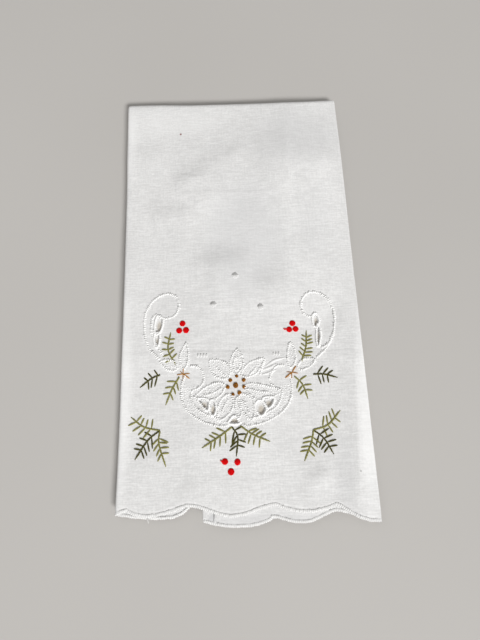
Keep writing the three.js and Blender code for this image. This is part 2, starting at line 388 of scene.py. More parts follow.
# The stitched design sits a little askew on the cloth: its middle line leans, and its rows tilt.
DESIGN_X = -8.6
DESIGN_LEAN = 0.07
DESIGN_TILT = 0.0246


def design(places):
    """Places of the design, off its middle line and up from the hem, as places on the front panel."""
    return [(DESIGN_X + p + DESIGN_LEAN * q, q - DESIGN_TILT * p) for p, q in places]


# Materials


class Value:
    """A socket of a material's nodes that works in Python sums."""

    def __init__(self, finish, socket):
        self.finish = finish
        self.socket = socket

    def sum(self, operation, *others):
        return self.finish.node("ShaderNodeMath", {"operation": operation}, dict(enumerate(others)))

    def __add__(self, other):
        return self.sum("ADD", self, other)

    def __mul__(self, other):
        return self.sum("MULTIPLY", self, other)

    __radd__ = __add__
    __rmul__ = __mul__


class Finish:
    """One procedural material and its nodes."""

    def __init__(self, name, roughness, sheen=0.0, specular=0.3):
        self.material = bpy.data.materials.new(name)
        self.material.use_nodes = True
        self.nodes = self.material.node_tree.nodes
        self.links = self.material.node_tree.links
        self.shader = self.nodes["Principled BSDF"]
        self.shader.inputs["Roughness"].default_value = roughness
        self.shader.inputs["Sheen Weight"].default_value = sheen
        self.shader.inputs["Sheen Roughness"].default_value = 0.5
        self.shader.inputs["Specular IOR Level"].default_value = specular
        self.place = self.node("ShaderNodeTexCoord", {}, {}, "Object")

    def node(self, kind, settings, sockets, output=0):
        node = self.nodes.new(kind)
        for key, value in settings.items():
            if key == "stops":
                ramp = node.color_ramp.elements
                while len(ramp) < len(value):
                    ramp.new(0.5)
                for element, (position, colour) in zip(ramp, value):
                    element.position = position
                    element.color = (*colour, 1.0)
            else:
                setattr(node, key, value)
        for key, value in sockets.items():
            if isinstance(value, Value):
                self.links.new(value.socket, node.inputs[key])
            else:
                node.inputs[key].default_value = value
        return Value(self, node.outputs[output])

    def stretched(self, x, y, z):
        """The place on the piece, with each axis scaled."""
        return self.node("ShaderNodeMapping", {}, {"Vector": self.place, "Scale": (x, y, z)})

    def noise(self, vector, scale, detail=2.0, roughness=0.5):
        sockets = {"Vector": vector, "Scale": scale, "Detail": detail, "Roughness": roughness}
        return self.node("ShaderNodeTexNoise", {}, sockets, "Fac")

    def wave(self, vector, scale, direction, distortion=0.0):
        settings = {"wave_type": "BANDS", "bands_direction": direction, "wave_profile": "SIN"}
        sockets = {"Vector": vector, "Scale": scale, "Distortion": distortion, "Detail": 1.0}
        return self.node("ShaderNodeTexWave", settings, sockets, "Fac")

    def ramp(self, value, stops):
        return self.node("ShaderNodeValToRGB", {"stops": stops}, {"Fac": value}, "Color")

    def mix(self, factor, colour, other):
        sockets = {0: factor, 6: colour, 7: other}
        return self.node("ShaderNodeMix", {"data_type": "RGBA"}, sockets, 2)

    def colour(self, value):
        self.links.new(value.socket, self.shader.inputs["Base Color"])

    def bump(self, height, strength, distance):
        sockets = {"Height": height, "Strength": strength, "Distance": distance}
        normal = self.node("ShaderNodeBump", {}, sockets, "Normal")
        self.links.new(normal.socket, self.shader.inputs["Normal"])

    def spot(self, x, y, radius):
        """One within a round mark on the front panel, and nothing outside it."""
        sockets = {0: self.place, 1: one_place_on_front(x, y)}
        away = self.node("ShaderNodeVectorMath", {"operation": "DISTANCE"}, sockets, "Value")
        uneven = self.noise(self.place, 2200.0, 2.0)
        edge = away * (0.5 / (radius * MM)) + 0.45 * uneven
        return self.ramp(edge, [(0.45, (1.0, 1.0, 1.0)), (0.8, (0.0, 0.0, 0.0))])

    def oval(self, row):
        """One in the middle of a soft oval on the front panel, fading to nothing at its rim."""
        sockets = {
            "Vector": self.place,
            "Location": one_place_on_front(row["x"], row["y"]),
            "Rotation": (0.0, 0.0, row["turn"]),
            "Scale": (row["long"] * MM, row["wide"] * MM, 1.0),
        }
        place = self.node("ShaderNodeMapping", {"vector_type": "TEXTURE"}, sockets)
        away = self.node("ShaderNodeVectorMath", {"operation": "LENGTH"}, {0: place}, "Value")
        settings = {"interpolation_type": "SMOOTHSTEP"}
        sockets = {"Value": away, "From Min": OVAL_PLATEAU, "To Min": 1.0, "To Max": 0.0}
        return self.node("ShaderNodeMapRange", settings, sockets)


# The wave texture makes one band in 0.314 of its unit, so this scale sets the spacing of the yarns.
YARN_SPACING = 0.42 * MM
BAND = 0.314159

# A small stain and a smaller speck: where they are on the front panel, and their radius.
STAIN = (-34.4, 229.2, 0.75)
SPECK = (59.7, 17.7, 0.6)

# The cloth's own tones, the tints of its ovals of painted light and painted shade and of the painted warm
# shade under its openings, and the colours of its two marks, a stain and a speck.
CLOTH_TONES = [(0.41, (0.65, 0.648, 0.643)), (0.59, (0.805, 0.803, 0.798))]
PAINTED_LIGHT_TINT = (0.9, 0.9, 0.895, 1.0)
PAINTED_SHADE_TINT = (0.6, 0.6, 0.605, 1.0)
PAINTED_OPENING_SHADE = (0.53, 0.49, 0.43, 1.0)
STAIN_BROWN = (0.22, 0.08, 0.06, 1.0)
SPECK_GREY = (0.3, 0.3, 0.29, 1.0)
SPECK_STRENGTH = 0.7


# Under each opening the layers below get painted warm shade, in an oval a little larger than the opening's
# half sizes, a little to the right of its middle and nearer its foot.
SHADE_SIZE = 1.1
SHADE_RIGHT = 0.1
SHADE_DOWN = 0.3


def painted_hole_shade(outline):
    places = np.array(outline)
    x, y = (places.min(axis=0) + places.max(axis=0)) / 2
    wide, long = (places.max(axis=0) - places.min(axis=0)) / 2
    x, y = x + SHADE_RIGHT * wide, y - SHADE_DOWN * long
    return {"x": x, "y": y, "turn": 0.0, "long": SHADE_SIZE * wide, "wide": SHADE_SIZE * long}


def woven_cotton():
    """Fine plain-woven white cotton: yarns both ways, thicker slubs, a soft unevenness, and painted light
    and shade in ovals and under the openings.
    """
    finish = Finish("woven_white_cotton", 0.9, sheen=0.1)
    yarn_scale = BAND / YARN_SPACING
    warp = finish.wave(finish.place, yarn_scale, "X", 0.6)
    weft = finish.wave(finish.place, yarn_scale, "Y", 0.6)
    slubs = finish.noise(finish.stretched(150.0, 1500.0, 300.0), 1.0, 2.0, 0.6)
    upright_slubs = finish.noise(finish.stretched(1400.0, 120.0, 300.0), 1.0, 2.0, 0.6)
    grain = finish.noise(finish.place, 900.0, 2.0, 0.6)
    crumple = finish.noise(finish.stretched(180.0, 330.0, 200.0), 1.0, 2.0, 0.5)
    cloudy = finish.noise(finish.place, 38.0, 3.0, 0.55)
    yarns = warp * weft
    tone = 0.36 * slubs + 0.16 * upright_slubs + 0.26 * grain + 0.14 * cloudy + 0.08 * yarns
    shade = finish.ramp(tone, CLOTH_TONES)
    painted_light = sum(finish.oval(row) * row["painted_light"] for row in rows_of(PAINTED_SHADING, PAINTED_SHADING_COLUMNS))
    painted_hole_shading = sum(finish.oval(painted_hole_shade(outline)) for outline in HOLES.values())
    # Painted light and painted shade from the ovals; a negative share paints shade.
    shade = finish.mix(painted_light, shade, PAINTED_LIGHT_TINT)
    shade = finish.mix(painted_light * -1.0, shade, PAINTED_SHADE_TINT)
    # Painted warm shade on the layers seen through each opening.
    shade = finish.mix(painted_hole_shading, shade, PAINTED_OPENING_SHADE)
    shade = finish.mix(finish.spot(*STAIN), shade, STAIN_BROWN)
    shade = finish.mix(finish.spot(*SPECK) * SPECK_STRENGTH, shade, SPECK_GREY)
    finish.colour(shade)
    height = 0.3 * yarns + 0.4 * slubs + 0.2 * upright_slubs + 0.3 * grain + 0.9 * crumple
    finish.bump(height, 0.62, 0.22 * MM)
    return finish.material


def cotton_thread(name, low, high):
    """Stranded cotton: small changes of tone from strand to strand."""
    finish = Finish(name, 0.8, specular=0.12)
    strands = finish.noise(finish.place, 2600.0, 2.0, 0.6)
    lengths = finish.noise(finish.place, 420.0, 2.0, 0.5)
    tone = 0.45 * strands + 0.55 * lengths
    finish.colour(finish.ramp(tone, [(0.32, low), (0.68, high)]))
    finish.bump(strands, 0.3, 0.05 * MM)
    return finish.material


# Meshes

# In how many steps a curve is worked out between two of its places, and a length too small to matter.
CURVE_FINENESS = 24
TINY = 1e-9


def new_mesh(name, places, faces, material=None):
    mesh = bpy.data.meshes.new(name)
    mesh.from_pydata(places, [], faces)
    if material:
        mesh.materials.append(material)
    return mesh


def put_in_scene(name, data):
    """A new object with this mesh, light or camera."""
    thing = bpy.data.objects.new(name, data)
    bpy.context.scene.collection.objects.link(thing)
    return thing


def make_piece(name, places, faces, material):
    """A smooth mesh of its own that lies with the cloth."""
    mesh = new_mesh(name, places.tolist(), faces, material)
    mesh.polygons.foreach_set("use_smooth", [True] * len(mesh.polygons))
    mesh.update()
    piece = put_in_scene(name, mesh)
    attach(piece, "root")
    return piece


def spaced(low, high, step):
    """Even places from low to high, at most a step apart, without the first."""
    count = max(1, math.ceil((high - low) / step))
    return [low + (high - low) * (k + 1) / count for k in range(count)]


def run_along(path):
    """How far each point of a path lies from its start, along it."""
    return np.concatenate([[0], np.cumsum(np.linalg.norm(np.diff(path, axis=0), axis=1))])


def curve(points, step, closed=False):
    """A smooth curve through points, as evenly spaced places."""
    points = np.array(points, float)
    if closed:
        padded = np.vstack([points[-1], points, points[0], points[1]])
    else:
        padded = np.vstack([2 * points[0] - points[1], points, 2 * points[-1] - points[-2]])
    fine = []
    t = np.linspace(0, 1, CURVE_FINENESS, endpoint=False)[:, None]
    for a, b, c, d in zip(padded, padded[1:], padded[2:], padded[3:]):
        bend = (2 * a - 5 * b + 4 * c - d) * t**2 + (3 * b - a - 3 * c + d) * t**3
        fine.append(0.5 * (2 * b + (c - a) * t + bend))
    fine = np.vstack(fine + [padded[-2]])
    lengths = run_along(fine)
    count = max(3, round(lengths[-1] / step) + 1)
    places = np.linspace(0, lengths[-1], count)
    return np.stack([np.interp(places, lengths, fine[:, k]) for k in range(points.shape[1])], axis=1)


def at_height(places, height):
    """Places of two numbers, with this height as the third."""
    return np.column_stack([places, np.full(len(places), height)])


def anticlockwise(outline):
    x, y = outline[:, 0], outline[:, 1]
    return np.sum(x * np.roll(y, -1) - np.roll(x, -1) * y) > 0


# White stitching is rows of slanting stitches over a laid thread, uneven in how far each reaches, where
# it is along the line and beside it, how thick it is and how high it rises.
LINE_WIDTH = 1.4
FINE_LINE_WIDTH = 1.28
SCROLL_WIDTH = 1.75
BAR_WIDTH = 1.55
LINE_PITCH = 1.1
LINE_SLANT = 0.3
THREAD_RADIUS = 0.35
LAID_THREAD = 0.14
LAID_HEIGHT = 0.02
UNEVEN_REACH = (0.6, 1.35)
UNEVEN_ALONG = (-0.1, 0.1)
UNEVEN_ASIDE = (-0.2, 0.2)
UNEVEN_THICKNESS = (0.7, 1.25)
UNEVEN_RISE = (0.04, 0.5)
STITCH_END = 0.55
STITCH_SQUARENESS = 0.4


class Stitches:
    """Threads and stitches laid on the cloth while it is flat, joined into one mesh."""

    def __init__(self, seed=0):
        self.rng = np.random.default_rng(seed)
        self.places = []
        self.faces = []
        self.count = 0

    def add(self, places, faces):
        self.places.append(places)
        self.faces.extend(tuple(self.count + k for k in face) for face in faces)
        self.count += len(places)

    def sheet(self, rings, turned=False):
        """A closed strip through rings of places, one section after the other."""
        count, sides = rings.shape[:2]
        faces = []
        for i in range(count - 1):
            for k in range(sides):
                m = (k + 1) % sides
                faces.append((i * sides + k, i * sides + m, (i + 1) * sides + m, (i + 1) * sides + k))
        faces.append(tuple(reversed(range(sides))))
        faces.append(tuple((count - 1) * sides + k for k in range(sides)))
        if turned:
            faces = [tuple(reversed(face)) for face in faces]
        self.add(rings.reshape(-1, 3), faces)

    def prism(self, outline, low, high):
        """A flat piece with this outline between two heights."""
        count = len(outline)
        heights = (low, high) if anticlockwise(outline) else (high, low)
        faces = [tuple(reversed(range(count))), tuple(range(count, 2 * count))]
        faces += [(k, (k + 1) % count, count + (k + 1) % count, count + k) for k in range(count)]
        self.add(np.vstack([at_height(outline, height) for height in heights]), faces)

    def tube(self, path, radius, sides=6, ridge=0.0, pitch=1.0, flat=1.0):
        """A thread along a path of x, y and height. Ridges wind round it, a pitch apart."""
        count = len(path)
        ahead = np.roll(path, -1, axis=0) - np.roll(path, 1, axis=0)
        ahead[0], ahead[-1] = path[1] - path[0], path[-1] - path[-2]
        ahead /= np.linalg.norm(ahead, axis=1)[:, None] + TINY
        side = np.stack([ahead[:, 1], -ahead[:, 0], np.zeros(count)], axis=1)
        side /= np.linalg.norm(side, axis=1)[:, None] + TINY
        up = np.cross(side, ahead)
        angle = np.arange(sides) * 2 * math.pi / sides
        wind = 1 + ridge * np.cos(angle[None, :] + 2 * math.pi * run_along(path)[:, None] / pitch)
        size = np.broadcast_to(radius, count)[:, None] * wind
        out = np.cos(angle)[None, :, None] * side[:, None, :]
        out = out + flat * np.sin(angle)[None, :, None] * up[:, None, :]
        self.sheet(path[:, None, :] + size[:, :, None] * out)

    def stitch(self, start, end, radius, rise, sides, steps):
        """One straight stitch that comes up at its start and goes down at its end."""
        share = np.linspace(0, 1, steps + 1)
        arch = np.sin(math.pi * share)
        path = np.zeros((steps + 1, 3))
        path[:, 0] = start[0] + (end[0] - start[0]) * share
        path[:, 1] = start[1] + (end[1] - start[1]) * share
        path[:, 2] = -radius + (rise + radius) * arch**STITCH_SQUARENESS
        self.tube(path, radius * (STITCH_END + (1 - STITCH_END) * np.sqrt(arch)), sides)

    def line(self, points, width=LINE_WIDTH, closed=False):
        """A raised line: a laid thread under uneven slanting stitches."""
        rng = self.rng
        line = curve(points, LINE_PITCH / 2, closed)
        self.tube(at_height(line, LAID_HEIGHT), LAID_THREAD * width, 5)
        for k in range(1, len(line) - 1, 2):
            ahead = (line[k + 1] - line[k - 1]) / np.linalg.norm(line[k + 1] - line[k - 1])
            side = np.array([-ahead[1], ahead[0]])
            reach = width / 2 * rng.uniform(*UNEVEN_REACH)
            middle = line[k] + ahead * rng.uniform(*UNEVEN_ALONG) + side * rng.uniform(*UNEVEN_ASIDE)
            half = side * reach + ahead * LINE_SLANT
            radius = THREAD_RADIUS * rng.uniform(*UNEVEN_THICKNESS)
            self.stitch(middle - half, middle + half, radius, rng.uniform(*UNEVEN_RISE), sides=5, steps=4)

    def piece(self, name, material, place=place_on_front, slot="white_cloth", face_down=False):
        faces = [tuple(reversed(face)) for face in self.faces] if face_down else self.faces
        return make_piece(name, place(*np.vstack(self.places).T), faces, material)


def inside(x, y, outline):
    """Whether places lie within a closed outline."""
    result = np.zeros(x.shape, bool)
    for (ax, ay), (bx, by) in zip(outline, np.roll(outline, -1, axis=0)):
        crossing = (ay > y) != (by > y)
        reach = ax + (y - ay) * (bx - ax) / (by - ay + TINY)
        result ^= crossing & (x < reach)
    return result


def clearance(x, y, outline):
    """How far places lie from the points of an outline."""
    away = np.hypot(x[:, None] - outline[None, :, 0], y[:, None] - outline[None, :, 1])
    return away.min(axis=1)


# The cloth

FRONT_STEP = 1.7
FRONT_STEP_HIGH_UP = 2.1
PLAIN_FRONT_FROM = 140.0
PANEL_STEP = 3.2
BACK_STEP = 4.0
FOLD_STEPS = 7
TOP_FOLD_STEPS = 9
HEM_FADE = 45.0
FOLD_FADE_FROM = 140.0

# Closer rows and columns where a crease is narrow: from, to and step.
FINE_ROWS = [(0.0, 4.4, 0.45), (82.0, 87.2, 0.4), (182.6, 186.0, 0.5), (193.5, 199.5, 0.6)]
FINE_COLUMNS = [(32.0, 44.0, 1.0), (58.5, 66.6, 0.5)]
LONGEST_LAST_STEP = 1.4


def graded(low, high, step, bands):
    """Places from low to high, a step apart and closer within the bands, without the first."""
    places = [low]
    while places[-1] < high:
        here = places[-1]
        size = min([step] + [fine for start, end, fine in bands if start <= here + step / 2 and here < end])
        places.append(high if here + LONGEST_LAST_STEP * size > high else here + size)
    return places[1:]


def cloth_columns():
    """Places across the cloth, fine on the front panel and in the folds."""
    edge = CLOTH_WIDTH / 2
    shift = LEFT_END - LEFT_TURN_X
    bands = [(start + shift, end + shift, fine) for start, end, fine in FINE_COLUMNS]
    columns = [-edge] + spaced(-edge, LEFT_START, PANEL_STEP)
    columns += spaced(LEFT_START, LEFT_END, 2 * LEFT_ARC / FOLD_STEPS)
    columns += graded(LEFT_END, RIGHT_START, FRONT_STEP, bands)
    columns += spaced(RIGHT_START, RIGHT_END, 2 * RIGHT_ARC / FOLD_STEPS)
    return np.array(columns + spaced(RIGHT_END, edge, PANEL_STEP))


def cloth_rows(columns, hem):
    """Where each row of places lies along the cloth, from the hem line given, for each column."""
    fold_y, radius = top_fold(*side_folds(columns)[2:])
    low = graded(0.0, PLAIN_FRONT_FROM, FRONT_STEP, FINE_ROWS)
    high = graded(PLAIN_FRONT_FROM, FOLD_LINE_Y, FRONT_STEP_HIGH_UP, FINE_ROWS)
    rows = []
    for y in [0.0] + low + high:
        near_hem = max(0.0, 1 - y / HEM_FADE) ** 2
        near_fold = max(0.0, (y - FOLD_FADE_FROM) / (FOLD_LINE_Y - FOLD_FADE_FROM))
        rows.append(y + hem * near_hem + (fold_y - FOLD_LINE_Y) * near_fold)
    for k in range(TOP_FOLD_STEPS):
        rows.append(fold_y + math.pi * radius * (k + 1) / TOP_FOLD_STEPS)
    start = rows[-1]
    for share in spaced(0.0, 1.0, BACK_STEP / (CLOTH_LENGTH - FOLD_LINE_Y)):
        rows.append(start + (CLOTH_LENGTH - start) * share)
    return np.array(rows)


# The close stitching of the scalloped edge, and how it draws the cloth thin beside its inner edge.
EDGE_WIDTH = 1.45
EDGE_STITCH = 1.0
EDGE_RINGS = 5
EDGE_TOOTH = 0.42
EDGE_PINCH = 0.45
EDGE_PINCH_IN = 0.25
EDGE_PINCH_REACH = 0.4
EDGE_PRESSED = 0.6
PANEL_PINCH = 0.5


def napkin_cloth(material):
    columns = cloth_columns()
    along = cloth_rows(columns, hem_edge(columns))
    across = np.broadcast_to(columns, along.shape)
    inset = along - hem_edge(columns)
    pinch = np.exp(-(((inset - EDGE_WIDTH - EDGE_PINCH_IN) / EDGE_PINCH_REACH) ** 2))
    pinch = pinch * np.where((across < LEFT_START) | (across > RIGHT_END), PANEL_PINCH, 1.0)
    half = HALF_SHEET * (1 - EDGE_PINCH * pinch)
    right = place_on_cloth(across, along, half).reshape(-1, 3)
    wrong = place_on_cloth(across, along, -half).reshape(-1, 3)
    length, width = along.shape
    count = width * length
    faces = []
    for j in range(length - 1):
        for i in range(width - 1):
            a, b = j * width + i, j * width + i + 1
            c, d = b + width, a + width
            faces.append((a, b, c, d))
            faces.append((count + a, count + d, count + c, count + b))
        first, last = j * width, j * width + width - 1
        faces.append((first, first + width, count + first + width, count + first))
        faces.append((last + width, last, count + last, count + last + width))
    end = (length - 1) * width
    for i in range(width - 1):
        faces.append((i + 1, i, count + i, count + i + 1))
        faces.append((end + i, end + i + 1, count + end + i + 1, count + end + i))
    return make_piece("napkin_sheet", np.vstack([right, wrong]), faces, material)


# The turned hem in section: how far in from the cut edge, and how thick it is there. At the scalloped
# end it is cut off slanting, and a small corner is tucked beside it.
HEM_FOOT = -0.04
HEM_SECTION = [
    (0.0, HEM_FOOT), (-0.17, 0.2), (0.02, 0.44), (0.5, HEM_THICKNESS), (1.5, HEM_THICKNESS + 0.03),
    (2.3, HEM_THICKNESS + 0.03), (2.45, HEM_THICKNESS + 0.02), (3.5, HEM_THICKNESS + 0.02),
    (4.45, HEM_THICKNESS), (HEM_WIDTH - 0.06, 0.42), (HEM_WIDTH, 0.2), (HEM_WIDTH, HEM_FOOT),
]
HEM_START_IN = (0.0, 1.9, 2.0, 4.4, HEM_WIDTH)
HEM_START_UP = (1.5, 1.7, 2.4, 7.4, 8.1)
TUCKED_CORNER = [
    (5.5, 1.2), (5.5, 4.0), (5.9, 7.6), (HEM_WIDTH + 1.5, 7.6), (HEM_WIDTH + 1.4, 1.1), (5.7, 0.9),
]
TUCKED_FOLD = [(HEM_WIDTH + 1.4, 1.0, 0.25), (HEM_WIDTH + 1.5, 4.6, 0.34), (HEM_WIDTH + 1.4, 8.2, 0.2)]
TUCKED_FOLD_RADIUS = 0.3
END_HEM_STEP = 2.4


def place_on_hem(across, along, height):
    """Where points above the turned hem lie, on the wrong side of the cloth."""
    return place_on_cloth(across, along, -(HALF_SHEET + height))


def turned_hems(material):
    """The hems of the two long sides and of the back end, as strips on the wrong side."""
    inset, height = np.array(HEM_SECTION).T
    hems = Stitches()
    for side in (-1, 1):
        across = side * (CLOTH_WIDTH / 2 - inset)
        start = hem_edge(across) + np.interp(inset, HEM_START_IN, HEM_START_UP)
        along = cloth_rows(across, start)
        strip = np.stack(np.broadcast_arrays(across, along, height), axis=2)
        hems.sheet(strip, side > 0)
        corner, fold = np.array(TUCKED_CORNER), curve(TUCKED_FOLD, 0.4)
        for places in (corner, fold):
            places[:, 0] = side * (CLOTH_WIDTH / 2 - places[:, 0])
            places[:, 1] += hem_edge(places[:, 0])
        hems.prism(corner, HEM_FOOT, HEM_THICKNESS + HEM_FOOT)
        hems.tube(fold, TUCKED_FOLD_RADIUS)
    reach = CLOTH_WIDTH / 2 - HEM_WIDTH
    across = np.array([-reach] + spaced(-reach, reach, END_HEM_STEP))
    along = CLOTH_LENGTH - inset
    strip = np.stack(np.broadcast_arrays(across[:, None], along[None, :], height[None, :]), axis=2)
    hems.sheet(strip, True)
    return hems.piece("turned_hems", material, place_on_hem, face_down=True)


# The small stitches of the turned hems: from where along the cloth, how far apart, how thick, how high
# and how uneven, how far outside the hem's inner edge each starts, and how far it runs over that edge
# and along it.
FIRST_PRICK = 9.0
PRICK_PITCH = 2.3
PRICK_RADIUS = 0.15
PRICK_RISE = 0.1
PRICK_SHIFT = 0.1
PRICK_OUTSIDE = 0.45
PRICK_OVER = 0.75
PRICK_ALONG = 0.55


def hem_stitches(material):
    """The small even stitches that hold each turned hem, on its own side."""
    stitches = Stitches(seed=15)
    rng = stitches.rng
    reach = CLOTH_WIDTH / 2 - HEM_WIDTH + PRICK_OUTSIDE
    end = CLOTH_LENGTH - HEM_WIDTH + PRICK_OUTSIDE
    for place in np.arange(FIRST_PRICK, CLOTH_LENGTH - HEM_WIDTH, PRICK_PITCH):
        for side in (-1, 1):
            foot = (side * reach + rng.uniform(-PRICK_SHIFT, PRICK_SHIFT), place)
            tip = (side * (reach - PRICK_OVER), place + PRICK_ALONG)
            stitches.stitch(foot, tip, PRICK_RADIUS, PRICK_RISE, sides=4, steps=3)
    for place in np.arange(-reach, reach, PRICK_PITCH):
        foot = (place, end + rng.uniform(-PRICK_SHIFT, PRICK_SHIFT))
        tip = (place + PRICK_ALONG, end - PRICK_OVER)
        stitches.stitch(foot, tip, PRICK_RADIUS, PRICK_RISE, sides=4, steps=3)
    for heights in stitches.places:
        heights[:, 2] += HEM_THICKNESS
    return stitches.piece("hem_stitches", material, place_on_hem, face_down=True)


# Cut openings in the front layer, as smooth loops through a few places on the front panel.
HOLES = {
    "left_scroll_upper": [
        (-47.5, 105.3), (-44.9, 104.0), (-45.3, 100.5), (-46.4, 96.7), (-48.4, 96.7), (-48.1, 101.0),
    ],
    "left_scroll_lower": [
        (-48.4, 94.9), (-46.5, 94.7), (-46.8, 91.3), (-47.7, 88.2), (-48.6, 91.5),
    ],
    "right_scroll_upper": [
        (42.2, 103.3), (43.7, 103.1), (44.2, 100.4), (43.6, 97.4), (42.3, 97.4), (41.9, 100.6),
    ],
    "right_scroll_lower": [
        (43.6, 96.6), (44.7, 96.3), (44.5, 91.5), (43.2, 85.5), (43.0, 91.0),
    ],
    "left_flower_corner": [
        (-24.0, 57.2), (-21.5, 57.3), (-19.4, 56.4), (-19.2, 54.2),
        (-19.6, 52.2), (-21.0, 53.3), (-22.6, 55.2),
    ],
    "left_flower_slot": [
        (-17.5, 55.8), (-15.5, 55.4), (-15.3, 51.8), (-16.4, 49.4), (-17.7, 51.6),
    ],
    "right_flower_leaf": [
        (9.0, 55.2), (10.8, 53.8), (11.8, 51.4), (9.8, 48.5), (7.9, 50.4), (7.4, 53.4),
    ],
    "right_flower_corner": [
        (12.2, 56.8), (16.2, 56.8), (15.4, 54.2), (13.7, 52.5), (12.6, 53.9), (11.6, 55.4),
    ],
    "middle_corner": [
        (-5.0, 47.3), (-3.5, 45.8), (-2.6, 44.6), (-5.0, 44.5), (-7.4, 44.6), (-6.5, 45.8),
    ],
}
CUT_ABOVE = 0.45
CUT_BELOW = -(SHEET_THICKNESS + 0.35)
CUT_STEP = 0.35
SHARP_ANGLE = 38.0


def cut_holes(cloth):
    """Cuts the openings through the front layer only."""
    cutters = Stitches()
    for outline in HOLES.values():
        loop = curve(outline, CUT_STEP, closed=True)[:-1]
        count = len(loop)
        faces = [tuple(range(count)), tuple(reversed(range(count, 2 * count)))]
        faces += [(k, count + k, count + (k + 1) % count, (k + 1) % count) for k in range(count)]
        if not anticlockwise(loop):
            faces = [tuple(reversed(face)) for face in faces]
        cutters.add(np.vstack([at_height(loop, height) for height in (CUT_ABOVE, CUT_BELOW)]), faces)
    places = place_on_front(*np.vstack(cutters.places).T)
    cutter = put_in_scene("cutter", new_mesh("cutter", places.tolist(), cutters.faces))
    cut = cloth.modifiers.new("openings", "BOOLEAN")
    cut.operation = "DIFFERENCE"
    cut.solver = "MANIFOLD"
    cut.object = cutter
    bpy.context.view_layer.update()
    finished = bpy.data.meshes.new_from_object(cloth.evaluated_get(bpy.context.evaluated_depsgraph_get()))
    cloth.modifiers.clear()
    cloth.data = finished
    bpy.data.objects.remove(cutter)
    finished.set_sharp_from_angle(angle=math.radians(SHARP_ANGLE))


# The stitched edge of the scallops in section: how far in from the edge, height off the middle of the
# cloth, and how much the stitches stand out there.
EDGE_PROFILE = [
    (EDGE_WIDTH + 0.05, 0.12, 0.0),
    (EDGE_WIDTH - 0.1, 0.35, 1.0),
    (EDGE_WIDTH * 0.7, 0.42, 1.0),
    (EDGE_WIDTH * 0.4, 0.44, 1.0),
    (0.28, 0.43, 1.0),
    (0.0, 0.35, 1.0),
    (-0.2, 0.18, 1.0),
    (-0.2, -0.18, 1.0),
    (0.05, -0.4, 1.0),
    (EDGE_WIDTH * 0.5, -0.42, 1.0),
    (EDGE_WIDTH - 0.1, -0.36, 1.0),
    (EDGE_WIDTH + 0.05, -0.12, 0.0),
]


# The edge is measured at many samples and its direction smoothed. Its stitches are uneven at the inner
# and the outer end, rise from a dip to a ridge each, some fuller than others, and are pressed at a fold.
EDGE_SEED = 11
EDGE_SAMPLES = 6000
EDGE_SMOOTHING = 9
EDGE_UNEVEN_INSIDE = 0.16
EDGE_UNEVEN_OUTSIDE = -0.05
EDGE_RIDGE = 0.45
EDGE_RIDGE_LEVEL = 0.6
EDGE_FULLER = 0.18
EDGE_FOLD_REACH = 3.0


def scallop_edging(material):
    """Close stitches over the scalloped edge, one beside the other, on both faces."""
    across = np.linspace(-CLOTH_WIDTH / 2, CLOTH_WIDTH / 2, EDGE_SAMPLES)
    edge = np.stack([across, hem_edge(across)], axis=1)
    run = run_along(edge)
    count = round(run[-1] / (EDGE_STITCH / EDGE_RINGS))
    places = np.linspace(0, run[-1], count + 1)
    x, y = (np.interp(places, run, edge[:, k]) for k in (0, 1))
    ahead = np.stack([np.gradient(x), np.gradient(y)], axis=1)
    kernel = np.ones(EDGE_SMOOTHING) / EDGE_SMOOTHING
    ends = EDGE_SMOOTHING // 2
    for k in (0, 1):
        ahead[ends:-ends, k] = np.convolve(ahead[:, k], kernel, "valid")
    ahead /= np.linalg.norm(ahead, axis=1)[:, None]
    inward = np.stack([-ahead[:, 1], ahead[:, 0]], axis=1)
    rng = np.random.default_rng(EDGE_SEED)
    number = np.floor(places / EDGE_STITCH).astype(int)
    uneven, fuller = (rng.uniform(-1, 1, number.max() + 2)[number] for _ in range(2))
    ridge = 0.5 - 0.5 * np.cos(2 * math.pi * places / EDGE_STITCH)
    folds = (LEFT_FOLD_ACROSS, RIGHT_FOLD_ACROSS)
    pressed = EDGE_PRESSED * sum(np.exp(-(((x - fold) / EDGE_FOLD_REACH) ** 2)) for fold in folds)
    rings = []
    for inset, height, raised in EDGE_PROFILE:
        reach = inset + (EDGE_UNEVEN_INSIDE if inset > EDGE_WIDTH / 2 else EDGE_UNEVEN_OUTSIDE) * uneven
        if inset < EDGE_WIDTH / 4:
            reach = reach + EDGE_TOOTH * (0.5 - ridge + 0.5 * uneven)
        swell = raised * (EDGE_RIDGE * (ridge - EDGE_RIDGE_LEVEL) + EDGE_FULLER * fuller)
        lift = height * (1 + swell) * (1 - pressed)
        rings.append(np.stack([x + inward[:, 0] * reach, y + inward[:, 1] * reach, lift], axis=1))
    edging = Stitches()
    edging.sheet(np.stack(rings, axis=1), True)
    return edging.piece("scallop_edging", material, place_on_cloth)


# A thread end that hangs off the edge of the left panel, from its stitch to its tip in the air, and the
# twist of its strands.
LOOSE_THREAD = [(-51.4, -2.3, 4.3), (-51.25, -3.2, 4.35), (-51.05, -4.0, 3.9), (-51.15, -4.7, 3.3)]
LOOSE_THREAD_RADIUS = 0.13
LOOSE_THREAD_STEP = 0.2
LOOSE_THREAD_TWIST = (0.15, 0.6)


def loose_thread(material):
    stitches = Stitches()
    stitches.tube(curve(LOOSE_THREAD, LOOSE_THREAD_STEP), LOOSE_THREAD_RADIUS, 6, *LOOSE_THREAD_TWIST)
    return stitches.piece("loose_thread", material, place_in_frame)


# White raised lines of the design, for one side as places off its middle line and up from the hem. The
# inner line of the scroll is on the left only, and its short foot on the right only.

